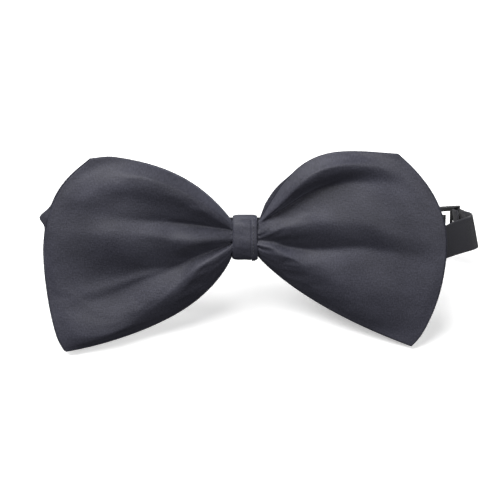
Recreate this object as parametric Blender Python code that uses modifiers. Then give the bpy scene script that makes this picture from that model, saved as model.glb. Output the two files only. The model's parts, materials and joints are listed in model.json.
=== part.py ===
"""Pre-tied bow tie on an adjustable neckband, as separate pieces.

Every piece is drawn in the bow's own upright frame: X to the wearer's left, Y to the
back, Z up, with the knot's centre at zero.  An empty then leans the whole tie back, the
way it stands on a table on its two lower wing corners and the back of its band.
"""
import bpy
import bmesh
import math
from mathutils import Matrix, Vector

MM = 0.001

# ---- driving dimensions ------------------------------------------------------------
LEAN_DEG = 25.5             # how far the standing tie leans back

GAP = 0.3 * MM              # clearance between neighbouring pieces
CLOTH = 0.45 * MM           # satin with its backing
LINING = 0.5 * MM           # non-woven interlining

# the wings: half height at the waist, then how each edge spreads away from it
WAIST_HALF_LENGTH = 3.9 * MM
WAIST_HALF_HEIGHT = 5.4 * MM
WAIST_DEPTH = 3.0 * MM      # one bow's depth where it is gathered
EDGE_DEPTH = 1.6 * MM       # one bow's depth along its folded edges
FORWARD_BEND = 8.0 * MM     # how far the wing ends come forward of the knot
BOW_PARTING = -0.2 * MM     # depth of the sheet that parts the front bow from the rear one
FRONT_CROWN = 5.4 * MM      # how far each bow's middle swells above its edges
REAR_CROWN = 3.4 * MM
REAR_BOW_SPREAD = 0.9 * MM  # the rear bow is this much longer in each wing
GATHER_RATE = 6.0           # how fast the waist's depth falls to that of the edges
SWELL_POWERS = (0.7, 0.8, 0.6)  # early along the wing, full in its middle, round across it
FOLD_SHARE = 0.18           # share of the swell that the soft folds take
LINING_INSET = 0.14         # the interlining stops this share short of each edge

# side, edge spread as (gain, length scale, power), reach, level of the reach and how the
# end curves back above and below that level (per metre)
WINGS = {
    "left": {
        "side": -1,
        "top": (23.0 * MM, 16.5 * MM, 1.0),
        "bottom": (30.5 * MM, 20.0 * MM, 0.85),
        "reach": 60.0 * MM,
        "level": -2.0 * MM,
        "curve_above": 12.5,
        "curve_below": 6.0,
    },
    "right": {
        "side": 1,
        "top": (22.3 * MM, 9.6 * MM, 1.3),
        "bottom": (46.0 * MM, 55.0 * MM, 0.9),
        "reach": 59.5 * MM,
        "level": 1.0 * MM,
        "curve_above": 14.0,
        "curve_below": 8.5,
    },
}
WING_TOP = 26.5 * MM
WING_BOTTOM = -31.8 * MM

# the knot: a satin strip wound once and a bit round the waist
KNOT_WIDTH = 7.3 * MM
KNOT_HALF_HEIGHT = 7.2 * MM
KNOT_FRONT = -5.1 * MM
KNOT_BACK = 6.0 * MM
KNOT_PLY = 0.7 * MM
KNOT_CORNER = 1.3 * MM
THREAD_RADIUS = 0.17 * MM
WAIST_TURNS = 3

# the neckband
STRAP_WIDTH = 10.4 * MM
STRAP_PLY = 0.6 * MM
STRAP_LEVEL = -2.4 * MM     # height of the band's middle at the eye's bar
STRAP_DIP = -6.4 * MM       # and behind the right wing
STRAP_AT_KNOT = 4.6 * MM    # depth of the band inside the knot
STRAP_FRONT = 6.8 * MM      # depth of the front run behind the wings
LEFT_FOLD_X = -44.0 * MM
RIGHT_LEAVE_X = 46.0 * MM   # the front run leaves the wing here for the right fold
RISE_FROM_X = 51.0 * MM     # and rises from here to the fold
RIGHT_FOLD = (65.5 * MM, 17.8 * MM)
RIGHT_FOLD_RADIUS = 5.0 * MM
BACK_SLANT_DEG = 0.8        # the back run comes forward towards the right fold
BACK_DROP = 0.066           # and sags away from it, per unit of length
JOIN_GAP = 0.35 * MM        # between two lengths of band where it flexes

# the clasp and the slider, all of moulded plastic
BAR = 0.8 * MM              # thickness of a bar that carries the band
BAR_HALF_WIDTH = 0.45 * MM
TURN_CLEARANCE = 0.2 * MM   # between a bar's corners and the band round it
PLATE = 1.2 * MM
EYE_BAR = (66.3 * MM, 25.8 * MM)
EYE_LENGTH = 8.0 * MM
EYE_HALF_HEIGHT = 6.0 * MM
EYE_RAIL = 0.9 * MM         # between the eye's slot and its window
EYE_FRONT = 1.4 * MM        # beyond the window
EYE_WINDOW_HALF = 4.6 * MM
SEWN_TAIL = 2.2 * MM        # the short side's end, past the eye's bar
HOOK_LIFT = 2.9 * MM        # the hook lies this far outside the eye
HOOK_BAR_AT = 14.0 * MM     # distance of the hook's bar from the eye's bar
HOOK_HALF_HEIGHT = 6.3 * MM
HOOK_PLATE = 5.6 * MM       # from the hook's bar to the front of its plate
TONGUE_INSET = 0.15 * MM    # the tongue is this much thinner than the plate
TONGUE_HALF_WIDTH = 2.6 * MM
TONGUE_REACH = 3.6 * MM     # the tongue ends this far from the eye's bar
SLIDER_AT = 41.0 * MM       # distance of the slider's middle bar from the eye's bar
SLIDER_LENGTH = 10.0 * MM
SLIDER_HALF_HEIGHT = 6.6 * MM
SLIDER_END_BAR = 1.6 * MM
SOFT_EDGE = 0.18 * MM       # on every moulded edge
SEWN_END = 9.0 * MM         # length of a band end that is turned back and sewn
LONG_SIDE_END = 41.5 * MM   # the fixed part of the long side ends this far from the eye

# worked out from the above
TURN = math.hypot(BAR / 2, BAR_HALF_WIDTH) + TURN_CLEARANCE + STRAP_PLY / 2
SLOT_WIDTH = TURN + STRAP_PLY / 2 + GAP         # from a bar's middle to its slot's far side
SLANT = math.radians(BACK_SLANT_DEG)
ALONG = Vector((math.cos(SLANT), -math.sin(SLANT)))     # back run, towards the eye
OUTWARD = Vector((math.sin(SLANT), math.cos(SLANT)))    # away from the neck
HALF_STRAP = STRAP_WIDTH / 2


# ---- helpers -----------------------------------------------------------------------
def clear_scene():
    for old in list(bpy.data.objects):
        bpy.data.objects.remove(old, do_unlink=True)


def new_collection(name):
    collection = bpy.data.collections.new(name)
    bpy.context.scene.collection.children.link(collection)
    return collection


def material(name, colour, roughness, metallic=0.0):
    made = bpy.data.materials.new(name)
    made.use_nodes = True
    shader = made.node_tree.nodes["Principled BSDF"]
    shader.inputs["Base Color"].default_value = (*colour, 1.0)
    shader.inputs["Roughness"].default_value = roughness
    shader.inputs["Metallic"].default_value = metallic
    made.diffuse_color = (*colour, 1.0)
    return made


def empty(name, location, parent=None):
    made = bpy.data.objects.new(name, None)
    made.empty_display_size = 0.01
    made.location = location
    made.parent = parent
    parts.objects.link(made)
    return made


def add_object(name, mesh, colour, holder, collection=None):
    """Link a mesh drawn in the bow's frame, with its origin at its holder's place."""
    made = bpy.data.objects.new(name, mesh)
    made.parent = holder
    mesh.transform(Matrix.Translation(-place_of(holder)))
    mesh.materials.append(colour)
    (collection or parts).objects.link(made)
    return made


def place_of(holder):
    """A holder's place in the bow's frame."""
    place = Vector((0, 0, 0))
    while holder is not None and holder != lean:
        place += holder.location
        holder = holder.parent
    return place


def mesh_from(bm, name, smooth_deg=None):
    bmesh.ops.recalc_face_normals(bm, faces=bm.faces)
    mesh = bpy.data.meshes.new(name)
    bm.to_mesh(mesh)
    bm.free()
    if smooth_deg is not None:
        mesh.shade_smooth()
        mesh.set_sharp_from_angle(angle=math.radians(smooth_deg))
    return mesh


def back_run(from_eye, lift):
    """Plan position on the back run, by distance from the eye's bar and lift off the eye."""
    return Vector(EYE_BAR) - ALONG * from_eye + OUTWARD * lift


def back_level(point):
    """Height of the band's middle at a plan position on the back run and its folds."""
    return STRAP_LEVEL - BACK_DROP * (Vector(EYE_BAR) - Vector(point)).dot(ALONG)


def smooth_step(value):
    value = min(max(value, 0.0), 1.0)
    return value * value * (3 - 2 * value)


# ---- the bows ----------------------------------------------------------------------
def spread(distance, edge):
    """Half height of a wing's edge at a distance from the knot's middle."""
    gain, scale, power = edge
    beyond = max(distance - WAIST_HALF_LENGTH, 0.0) / scale
    return WAIST_HALF_HEIGHT + gain * (1 - math.exp(-(beyond ** power)))


def wing_end(wing, share):
    """Distance from the knot of the wing's end, share 0 at the bottom and 1 at the top."""
    level = WING_BOTTOM + share * (WING_TOP - WING_BOTTOM) - wing["level"]
    curve = wing["curve_above"] if level > 0 else wing["curve_below"]
    return wing["reach"] - curve * level * level


def wing_point(wing, along, share, longer):
    """Plan and height of a wing's point: along runs 0 to 1 from the waist to the end."""
    end = wing_end(wing, share) + longer
    distance = WAIST_HALF_LENGTH + along * (end - WAIST_HALF_LENGTH)
    top = spread(distance, wing["top"])
    bottom = -spread(distance, wing["bottom"])
    return wing["side"] * distance, bottom + share * (top - bottom)


def parting_depth(x):
    """Depth of the sheet between the two bows, which bends forward to the wing ends."""
    return BOW_PARTING - FORWARD_BEND * (abs(x) / WINGS["left"]["reach"]) ** 1.5


def crown(along, share, height):
    """Swell of a bow above its edges, with soft folds that run out from the waist."""
    if not 0 < along < 1:
        return 0.0
    early, full, rounded = SWELL_POWERS
    across = 2 * share - 1
    body = math.sin(math.pi * along ** early) ** full
    folds = 1 - FOLD_SHARE + FOLD_SHARE * math.cos(3 * math.pi * across)
    return height * body * (1 - across * across) ** rounded * folds


def bow_section(station, rows, height, facing, longer, inset=0.0):
    """One ring of a bow: (wing, along) gives the station, rows the points up its face.

    facing is -1 for the front bow, which lies in front of the parting sheet, and 1 for
    the rear one.
    """
    wing, along = station
    near, far = [], []
    for row in range(rows):
        share = inset + (1 - 2 * inset) * row / (rows - 1)
        x, z = wing_point(wing, along, share, longer)
        if along < 0:
            x = 0.0
            z = (2 * share - 1) * WAIST_HALF_HEIGHT
        sheet = parting_depth(x) + facing * GAP / 2
        depth = EDGE_DEPTH + (WAIST_DEPTH - EDGE_DEPTH) * math.exp(-max(along, 0) * GATHER_RATE)
        outer = sheet + facing * (depth + crown(along, share, height))
        near.append(Vector((x, sheet, z)))
        far.append(Vector((x, outer, z)))
    return near, far


def bow_stations():
    """Stations from the left wing's end to the right wing's end."""
    steps = (1.0, 0.93, 0.8, 0.65, 0.5, 0.36, 0.23, 0.12, 0.04, 0.0)
    left = [(WINGS["left"], step) for step in steps]
    right = [(WINGS["right"], step) for step in reversed(steps)]
    return left + [(WINGS["left"], -1.0)] + right


def satin_bow(name, height, facing, longer, colour):
    """A satin tube, pinched at the waist, closed at its ends, with a turning gap behind."""
    rows = 9
    stations = bow_stations()
    bm = bmesh.new()
    rings = []
    for station in stations:
        near, far = bow_section(station, rows, height, facing, longer)
        rings.append([bm.verts.new(point) for point in far + near[::-1]])
    count = 2 * rows
    gap_side = rows + rows // 2 - 1         # a face in the middle of the sheet side
    gap_ring = len(stations) // 2
    for index in range(len(rings) - 1):
        for corner in range(count):
            if index in (gap_ring - 1, gap_ring) and corner == gap_side:
                continue
            after = (corner + 1) % count
            bm.faces.new((rings[index][corner], rings[index][after],
                          rings[index + 1][after], rings[index + 1][corner]))
    for ring in (rings[0], rings[-1]):
        for row in range(rows - 1):
            bm.faces.new((ring[row], ring[row + 1],
                          ring[count - 2 - row], ring[count - 1 - row]))
    made = add_object(name, mesh_from(bm, name, 50), colour, lean)
    shell = made.modifiers.new("cloth", "SOLIDIFY")
    shell.thickness = CLOTH
    shell.offset = -1.0
    shell.use_even_offset = True
    return made


def interlining(name, height, facing, longer, colour):
    """The stiffener: one sheet that runs through both wings, inside the satin."""
    rows = 7
    bm = bmesh.new()
    previous = None
    for wing, along in bow_stations()[1:-1]:
        near, far = bow_section((wing, along), rows, height, facing, longer, LINING_INSET)
        line = [bm.verts.new((a + b) / 2) for a, b in zip(near, far)]
        if previous:
            for row in range(rows - 1):
                bm.faces.new((previous[row], previous[row + 1], line[row + 1], line[row]))
        previous = line
    made = add_object(name, mesh_from(bm, name, 50), colour, lean)
    sheet = made.modifiers.new("sheet", "SOLIDIFY")
    sheet.thickness = LINING
    sheet.offset = 0.0
    return made


# ---- the knot ----------------------------------------------------------------------
def rounded_path(corners, radius, steps=3):
    """Turn the corners of an open path into arcs."""
    points = [corners[0]]
    for before, corner, after in zip(corners, corners[1:], corners[2:]):
        back = (before - corner).normalized()
        onward = (after - corner).normalized()
        start = corner + back * radius
        end = corner + onward * radius
        for step in range(steps + 1):
            t = step / steps
            points.append((1 - t) ** 2 * start + 2 * t * (1 - t) * corner + t * t * end)
    points.append(corners[-1])
    return points


def knot_wrap(colour):
    """A strip wound round the waist from behind, its outer end lapped over its start."""
    half = KNOT_HALF_HEIGHT - KNOT_PLY / 2
    front = KNOT_FRONT + KNOT_PLY / 2
    inner = KNOT_BACK - KNOT_PLY / 2
    outer = inner + KNOT_PLY + GAP
    lower = -half
    corners = [(inner, 0.0), (inner, lower), (front, lower), (front, half), (outer, half),
               (outer, lower + 1.2 * MM)]
    path = rounded_path([Vector(corner) for corner in corners], KNOT_CORNER)
    bm = bmesh.new()
    previous = None
    for depth, height in path:
        pair = [bm.verts.new((side * KNOT_WIDTH / 2, depth, height)) for side in (-1, 1)]
        if previous:
            bm.faces.new((previous[0], previous[1], pair[1], pair[0]))
        previous = pair
    made = add_object("knot_wrap", mesh_from(bm, "knot_wrap", 40), colour, lean)
    strip = made.modifiers.new("strip", "SOLIDIFY")
    strip.thickness = KNOT_PLY
    strip.offset = 0.0
    strip.use_even_offset = True
    return made


def thread(name, points, colour, holder):
    """A sewing thread through the points, as one closed tube."""
    curve = bpy.data.curves.new(name, "CURVE")
    curve.dimensions = "3D"
    curve.bevel_depth = THREAD_RADIUS
    curve.bevel_resolution = 1
    curve.use_fill_caps = True
    spline = curve.splines.new("POLY")
    spline.points.add(len(points) - 1)
    for slot, point in zip(spline.points, points):
        slot.co = (*point, 1.0)
    guide = bpy.data.objects.new(name + "_guide", curve)
    guides.objects.link(guide)
    seen = guide.evaluated_get(bpy.context.evaluated_depsgraph_get())
    mesh = bpy.data.meshes.new_from_object(seen)
    mesh.name = name
    bpy.data.objects.remove(guide, do_unlink=True)
    bm = bmesh.new()
    bm.from_mesh(mesh)
    bmesh.ops.remove_doubles(bm, verts=bm.verts, dist=1e-7)
    bmesh.ops.recalc_face_normals(bm, faces=bm.faces)
    bm.to_mesh(mesh)
    bm.free()
    mesh.shade_smooth()
    return add_object(name, mesh, colour, holder)


def waist_thread(colour):
    """Turns of thread that gather both bows at the waist, under the knot."""
    steps_a_turn = 16
    corner_slack = 1.06
    clear = THREAD_RADIUS + GAP
    front = BOW_PARTING - GAP / 2 - WAIST_DEPTH - clear
    back = BOW_PARTING + GAP / 2 + WAIST_DEPTH + clear
    half_height = WAIST_HALF_HEIGHT + clear
    middle = (front + back) / 2
    half_depth = (back - front) / 2
    pitch = 3 * THREAD_RADIUS
    points = []
    for step in range(WAIST_TURNS * steps_a_turn + 1):
        turn = step / steps_a_turn
        angle = 2 * math.pi * turn
        # a squared-off turn, a little fuller at the waist's corners, so that it clears them
        c, s = math.cos(angle), math.sin(angle)
        reach = 1 + corner_slack * (1 / max(abs(c), abs(s)) - 1)
        points.append(Vector((pitch * (turn - WAIST_TURNS / 2),
                              middle + half_depth * c * reach,
                              half_height * s * reach)))
    return thread("waist_thread", points, colour, lean)


def knot_stitches(colour):
    """Whip stitches that close the knot's strip, along its lower back edge."""
    stitches = 6
    depth = KNOT_BACK + KNOT_PLY + GAP - KNOT_PLY / 2
    upper = -KNOT_HALF_HEIGHT + 0.9 * MM
    lower = -KNOT_HALF_HEIGHT - THREAD_RADIUS - 0.1 * MM
    points = []
    for step in range(2 * stitches + 1):
        x = (step / stitches - 1) * KNOT_WIDTH * 0.38
        points.append(Vector((x, depth, upper if step % 2 else lower)))
    return thread("knot_stitches", points, colour, lean)


# ---- the neckband ------------------------------------------------------------------
def arc(centre, radius, start_deg, end_deg, steps):
    points = []
    for step in range(steps + 1):
        angle = math.radians(start_deg + (end_deg - start_deg) * step / steps)
        points.append(Vector((centre[0] + radius * math.cos(angle),
                              centre[1] + radius * math.sin(angle))))
    return points


def band(name, plan, colour, holder, level=back_level):
    """A length of band on edge along a plan path; level gives its height at each point."""
    bm = bmesh.new()
    previous = None
    for point in plan:
        middle = level(point)
        pair = [bm.verts.new((*point, middle + side * HALF_STRAP)) for side in (-1, 1)]
        if previous:
            bm.faces.new((previous[0], pair[0], pair[1], previous[1]))
        previous = pair
    made = add_object(name, mesh_from(bm, name, 40), colour, holder)
    ply = made.modifiers.new("ply", "SOLIDIFY")
    ply.thickness = STRAP_PLY
    ply.offset = 0.0
    ply.use_even_offset = True
    return made


def left_fold():
    """Centre and radius of the left fold, tangent to the front run and the back run."""
    lift = HOOK_LIFT + TURN
    point = back_run(0, lift)
    ahead = OUTWARD.x * (point.x - LEFT_FOLD_X) + OUTWARD.y * (point.y - STRAP_FRONT)
    radius = ahead / (1 + OUTWARD.y)
    return Vector((LEFT_FOLD_X, STRAP_FRONT + radius)), radius


def right_approach():
    """Angle at which the front run heads for the right fold, tangent to it."""
    ahead = Vector(RIGHT_FOLD) - Vector((RIGHT_LEAVE_X, STRAP_FRONT))
    return math.atan2(ahead.y, ahead.x) - math.asin(RIGHT_FOLD_RADIUS / ahead.length)


def front_run(colour):
    """From the middle of the left fold, through the knot, to the middle of the right fold."""
    left_centre, left_radius = left_fold()
    left_trim = math.degrees(JOIN_GAP / 2 / left_radius)
    right_trim = math.degrees(JOIN_GAP / 2 / RIGHT_FOLD_RADIUS)
    path = arc(left_centre, left_radius, 180 + left_trim, 270, 7)
    steps = 16
    for step in range(1, steps):
        x = LEFT_FOLD_X + (RIGHT_LEAVE_X - LEFT_FOLD_X) * step / steps
        rise = smooth_step((abs(x) - KNOT_WIDTH / 2) / (28 * MM))
        path.append(Vector((x, STRAP_AT_KNOT + (STRAP_FRONT - STRAP_AT_KNOT) * rise)))
    path.append(Vector((RIGHT_LEAVE_X, STRAP_FRONT)))
    turned = math.degrees(right_approach())
    fold = arc(Vector(RIGHT_FOLD), RIGHT_FOLD_RADIUS, 270 + turned, 360 - right_trim, 6)
    path += [path[-1].lerp(fold[0], step / 4) for step in range(1, 4)] + fold

    def level(point):
        away = abs(point.x) - KNOT_WIDTH / 2
        if point.x < 0:
            return back_level(path[0]) * smooth_step(away / (50 * MM))
        dip = STRAP_DIP * smooth_step(away / (36 * MM))
        risen = smooth_step((point.x - RISE_FROM_X) / (path[-1].x - RISE_FROM_X))
        return dip + (back_level(path[-1]) - STRAP_DIP) * risen

    return band("neckband_front", path, colour, lean, level)


def long_run(colour, holder):
    """The long side: half of the left fold and the back run as far as the slider."""
    centre, radius = left_fold()
    trim = math.degrees(JOIN_GAP / 2 / radius)
    path = arc(centre, radius, 180 - trim, 90 - BACK_SLANT_DEG, 8)
    end = back_run(LONG_SIDE_END, HOOK_LIFT + TURN)
    start = path[-1]
    for step in range(1, 7):
        path.append(start.lerp(end, step / 6))
    return band("neckband_long_side", path, colour, holder)


def hook_loop(colour, holder):
    """The running loop: on from the long side, round the hook's bar, back to the slider."""
    bar = back_run(HOOK_BAR_AT, HOOK_LIFT)
    start = back_run(LONG_SIDE_END - JOIN_GAP, HOOK_LIFT + TURN)
    turn = arc(bar, TURN, 90 - BACK_SLANT_DEG, -90 - BACK_SLANT_DEG, 8)
    end = back_run(SLIDER_AT - SEWN_END - JOIN_GAP, slider_bar_lift() - TURN)
    outer = [start.lerp(turn[0], step / 4) for step in range(4)]
    inner = [turn[-1].lerp(end, step / 3) for step in range(1, 4)]
    return band("neckband_loop", outer + turn + inner, colour, holder)


def slider_sewn_end(colour, holder):
    """The long side's end, turned round the slider's middle bar and sewn to itself."""
    bar = back_run(SLIDER_AT, slider_bar_lift())
    turn = arc(bar, TURN, 270 - BACK_SLANT_DEG, 90 - BACK_SLANT_DEG, 8)
    path = [turn[0] + ALONG * SEWN_END] + turn + [turn[-1] + ALONG * SEWN_END]
    return band("slider_sewn_end", path, colour, holder)


def right_fold_end():
    trim = math.degrees(JOIN_GAP / 2 / RIGHT_FOLD_RADIUS)
    return arc(Vector(RIGHT_FOLD), RIGHT_FOLD_RADIUS, trim, 45, 4)


def eye_heading():
    """The direction in which the short side runs in to the eye's bar."""
    return (Vector(EYE_BAR) - right_fold_end()[-1]).normalized()


def short_side(colour, holder):
    """The short side: half of the right fold, round the eye's bar and sewn back."""
    inbound = eye_heading()
    heading = math.degrees(math.atan2(inbound.y, inbound.x))
    turn = arc(Vector(EYE_BAR), TURN, heading - 90, heading + 90, 8)
    tail = [turn[-1] - inbound * length for length in (SEWN_TAIL / 2, SEWN_TAIL)]
    return band("neckband_short_side", right_fold_end() + turn + tail, colour, holder)


def bar_tack(name, middle, heading, colour, holder):
    """A zigzag row of stitches across the band's width, close to its face."""
    stitches = 7
    swing = 0.5 * MM
    points = []
    for step in range(2 * stitches + 1):
        plan = middle + heading * (swing if step % 2 else -swing)
        height = back_level(middle) + (step / stitches - 1) * HALF_STRAP * 0.86
        points.append(Vector((*plan, height)))
    return thread(name, points, colour, holder)


def slider_end_stitches(colour, holder):
    lift = slider_bar_lift() - TURN - STRAP_PLY / 2 - GAP - THREAD_RADIUS
    return bar_tack("slider_end_stitches", back_run(SLIDER_AT - 7 * MM, lift), ALONG,
                    colour, holder)


def eye_end_stitches(colour, holder):
    bar, inbound = Vector(EYE_BAR), eye_heading()
    inward = Vector((-inbound.y, inbound.x))
    lift = TURN + STRAP_PLY / 2 + GAP + THREAD_RADIUS
    return bar_tack("eye_end_stitches", bar + inward * lift - inbound * 1.4 * MM, inbound,
                    colour, holder)


# ---- moulded pieces ----------------------------------------------------------------
def block(from_eye, lift, half_height):
    """A box on the back run: its spans along it and off it, and half its height."""
    bm = bmesh.new()
    bmesh.ops.create_cube(bm, size=1.0)
    length = from_eye[1] - from_eye[0]
    depth = lift[1] - lift[0]
    bmesh.ops.scale(bm, vec=(length, depth, 2 * half_height), verts=bm.verts)
    middle = back_run(sum(from_eye) / 2, sum(lift) / 2)
    bmesh.ops.rotate(bm, matrix=Matrix.Rotation(-SLANT, 3, "Z"), verts=bm.verts)
    bmesh.ops.translate(bm, vec=(*middle, 0), verts=bm.verts)
    for vert in bm.verts:
        vert.co.z += back_level(vert.co.xy)
    return bm


def moulding(name, body, cuts, joins, colour, holder):
    """A moulded plate: a body, boxes joined to it, boxes cut from it, and soft edges."""
    made = add_object(name, mesh_from(body, name), colour, holder)
    for kind, boxes in (("UNION", joins), ("DIFFERENCE", cuts)):
        for number, bm in enumerate(boxes):
            tool_name = f"{name}_{kind.lower()}_{number}"
            tool = add_object(tool_name, mesh_from(bm, tool_name), colour, holder, guides)
            tool.hide_render = True
            tool.display_type = "WIRE"
            step = made.modifiers.new(tool_name, "BOOLEAN")
            step.operation = kind
            step.solver = "EXACT"
            step.object = tool
    soft = made.modifiers.new("soft_edges", "BEVEL")
    soft.width = SOFT_EDGE
    soft.segments = 1
    soft.limit_method = "ANGLE"
    soft.angle_limit = math.radians(40)
    return made


def eye(colour, holder):
    """The eye: a plate with a slot for the band and a window for the hook."""
    half = PLATE / 2
    body = block((-BAR_HALF_WIDTH, EYE_LENGTH), (-half, half), EYE_HALF_HEIGHT)
    slot = block((BAR_HALF_WIDTH, SLOT_WIDTH), (-2 * half, 2 * half), HALF_STRAP + GAP)
    window = block((SLOT_WIDTH + EYE_RAIL, EYE_LENGTH - EYE_FRONT), (-2 * half, 2 * half),
                   EYE_WINDOW_HALF)
    thin = [block((-1.5 * MM, 0.9 * MM), (side * BAR / 2, side * 3 * half)[::side],
                  HALF_STRAP + 1.5 * GAP) for side in (-1, 1)]
    return moulding("eye", body, [slot, window] + thin, [], colour, holder)


def hook(colour, holder):
    """The hook: a slotted plate on the long side, with a tongue that lies over the eye."""
    low = HOOK_LIFT - PLATE / 2
    high = HOOK_LIFT + PLATE / 2
    front = HOOK_BAR_AT - HOOK_PLATE
    rear = HOOK_BAR_AT + BAR_HALF_WIDTH
    body = block((front, rear), (low, high), HOOK_HALF_HEIGHT)
    inset = TONGUE_INSET
    tongue = block((TONGUE_REACH, front + 4 * inset), (low + inset, high - inset),
                   TONGUE_HALF_WIDTH)
    tip = block((TONGUE_REACH + inset, TONGUE_REACH + 8 * inset), (low - 3 * inset, HOOK_LIFT),
                TONGUE_HALF_WIDTH - inset)
    slot = block((HOOK_BAR_AT - SLOT_WIDTH, HOOK_BAR_AT - BAR_HALF_WIDTH),
                 (low - MM, high + MM), HALF_STRAP + GAP)
    thin = [block((HOOK_BAR_AT - 1.1 * MM, rear + 0.5 * MM), span, HALF_STRAP + 1.5 * GAP)
            for span in ((low - MM, HOOK_LIFT - BAR / 2), (HOOK_LIFT + BAR / 2, high + MM))]
    return moulding("hook", body, [slot] + thin, [tongue, tip], colour, holder)


def slider_bar_lift():
    """Lift of the slider's middle bar: its sewn ply clears the running ply over it."""
    return HOOK_LIFT - STRAP_PLY - GAP


def slider(colour, holder):
    """The slider: the sewn end is on its middle bar, the band runs over that bar and
    under the bars at its two ends."""
    low = slider_bar_lift() - BAR / 2
    bar_top = low + BAR
    end_low = HOOK_LIFT + TURN + STRAP_PLY / 2 + GAP
    half = SLIDER_LENGTH / 2
    clear = HALF_STRAP + GAP
    body = block((SLIDER_AT - half, SLIDER_AT + half), (low, end_low + BAR),
                 SLIDER_HALF_HEIGHT)
    channel = block((SLIDER_AT - 2 * half, SLIDER_AT + 2 * half), (bar_top, end_low), clear)
    below = [block((SLIDER_AT + side * BAR_HALF_WIDTH, SLIDER_AT + side * 2 * half)[::side],
                   (low - MM, bar_top + GAP), clear + GAP / 2) for side in (-1, 1)]
    above = block((SLIDER_AT - half + SLIDER_END_BAR, SLIDER_AT + half - SLIDER_END_BAR),
                  (end_low - GAP, end_low + BAR + MM), clear + GAP / 2)
    return moulding("slider", body, [channel, above] + below, [], colour, holder)


# ---- the assembly ------------------------------------------------------------------
clear_scene()
parts = new_collection("bow_tie")
guides = new_collection("cutters")
lean = None

satin = material("satin", (0.070, 0.070, 0.088), 0.45)
lining = material("interlining", (0.72, 0.71, 0.68), 0.9)
webbing = material("webbing", (0.024, 0.024, 0.030), 0.75)
sewing = material("thread", (0.035, 0.035, 0.045), 0.6)
plastic = material("plastic", (0.030, 0.030, 0.032), 0.3)

face_depth = KNOT_BACK + KNOT_PLY + GAP
tilt = Matrix.Rotation(-math.radians(LEAN_DEG), 3, "X")
lean = empty("lean", -(tilt @ Vector((0, face_depth, 0))))
lean.rotation_euler = (-math.radians(LEAN_DEG), 0, 0)

satin_bow("front_bow", FRONT_CROWN, -1, 0.0, satin)
interlining("front_bow_interlining", FRONT_CROWN, -1, 0.0, lining)
satin_bow("rear_bow", REAR_CROWN, 1, REAR_BOW_SPREAD, satin)
interlining("rear_bow_interlining", REAR_CROWN, 1, REAR_BOW_SPREAD, lining)
knot_wrap(satin)
waist_thread(sewing)
knot_stitches(sewing)
front_run(webbing)

fold_centre, fold_radius = left_fold()
left_axis = empty("left_flex_axis", Vector((fold_centre.x - fold_radius - STRAP_PLY / 2,
                                            fold_centre.y, 0)), lean)
long_run(webbing, left_axis)

hook_bar = back_run(HOOK_BAR_AT, HOOK_LIFT)
hook_axis = empty("hook_axis", Vector((*hook_bar, 0)) - left_axis.location, left_axis)
hook_loop(webbing, hook_axis)
hook(plastic, hook_axis)

slider_bar = back_run(SLIDER_AT, slider_bar_lift())
slider_place = empty("slider_place", Vector((*slider_bar, 0)) - left_axis.location, left_axis)
slider(plastic, slider_place)
slider_sewn_end(webbing, slider_place)
slider_end_stitches(sewing, slider_place)

right_edge = Vector(RIGHT_FOLD) + Vector((RIGHT_FOLD_RADIUS + STRAP_PLY / 2, 0))
right_axis = empty("right_flex_axis", Vector((*right_edge, 0)), lean)
short_side(webbing, right_axis)
eye_end_stitches(sewing, right_axis)
eye_axis = empty("eye_axis", Vector((*EYE_BAR, 0)) - right_axis.location, right_axis)
eye(plastic, eye_axis)
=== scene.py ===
"""The looks of a pre-tied satin bow tie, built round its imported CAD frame.

Shapes are drawn in the bow's own upright frame in millimetres (X across, Y to the back,
Z up, the knot's centre at zero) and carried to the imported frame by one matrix, which is
read from the record: the tie leans back on a table.
"""

import json
import math

import bmesh
import bpy
import numpy as np
from mathutils import Matrix, Vector
from mathutils.bvhtree import BVHTree


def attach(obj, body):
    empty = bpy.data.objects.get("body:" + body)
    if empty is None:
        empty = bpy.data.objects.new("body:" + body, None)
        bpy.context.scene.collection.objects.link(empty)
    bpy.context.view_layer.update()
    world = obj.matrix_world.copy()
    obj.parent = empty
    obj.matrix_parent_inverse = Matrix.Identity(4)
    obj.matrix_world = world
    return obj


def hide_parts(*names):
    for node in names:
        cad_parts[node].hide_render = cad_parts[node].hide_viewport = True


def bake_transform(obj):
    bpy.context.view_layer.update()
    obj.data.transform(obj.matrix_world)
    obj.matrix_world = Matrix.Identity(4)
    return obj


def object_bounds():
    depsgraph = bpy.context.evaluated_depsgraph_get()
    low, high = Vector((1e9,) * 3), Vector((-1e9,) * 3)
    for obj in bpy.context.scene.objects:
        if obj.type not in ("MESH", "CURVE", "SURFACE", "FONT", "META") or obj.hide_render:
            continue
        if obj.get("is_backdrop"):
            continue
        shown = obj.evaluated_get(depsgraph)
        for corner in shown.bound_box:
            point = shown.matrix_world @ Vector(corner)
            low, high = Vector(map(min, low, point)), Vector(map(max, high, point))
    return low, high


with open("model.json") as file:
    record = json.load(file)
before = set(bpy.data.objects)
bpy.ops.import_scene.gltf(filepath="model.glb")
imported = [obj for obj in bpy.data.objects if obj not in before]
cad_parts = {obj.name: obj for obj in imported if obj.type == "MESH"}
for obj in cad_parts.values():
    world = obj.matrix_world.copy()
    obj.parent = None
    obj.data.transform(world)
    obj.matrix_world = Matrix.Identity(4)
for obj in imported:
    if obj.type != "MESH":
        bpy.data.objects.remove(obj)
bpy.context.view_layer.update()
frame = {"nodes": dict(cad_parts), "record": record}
record = frame["record"]

MM = 0.001

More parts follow.
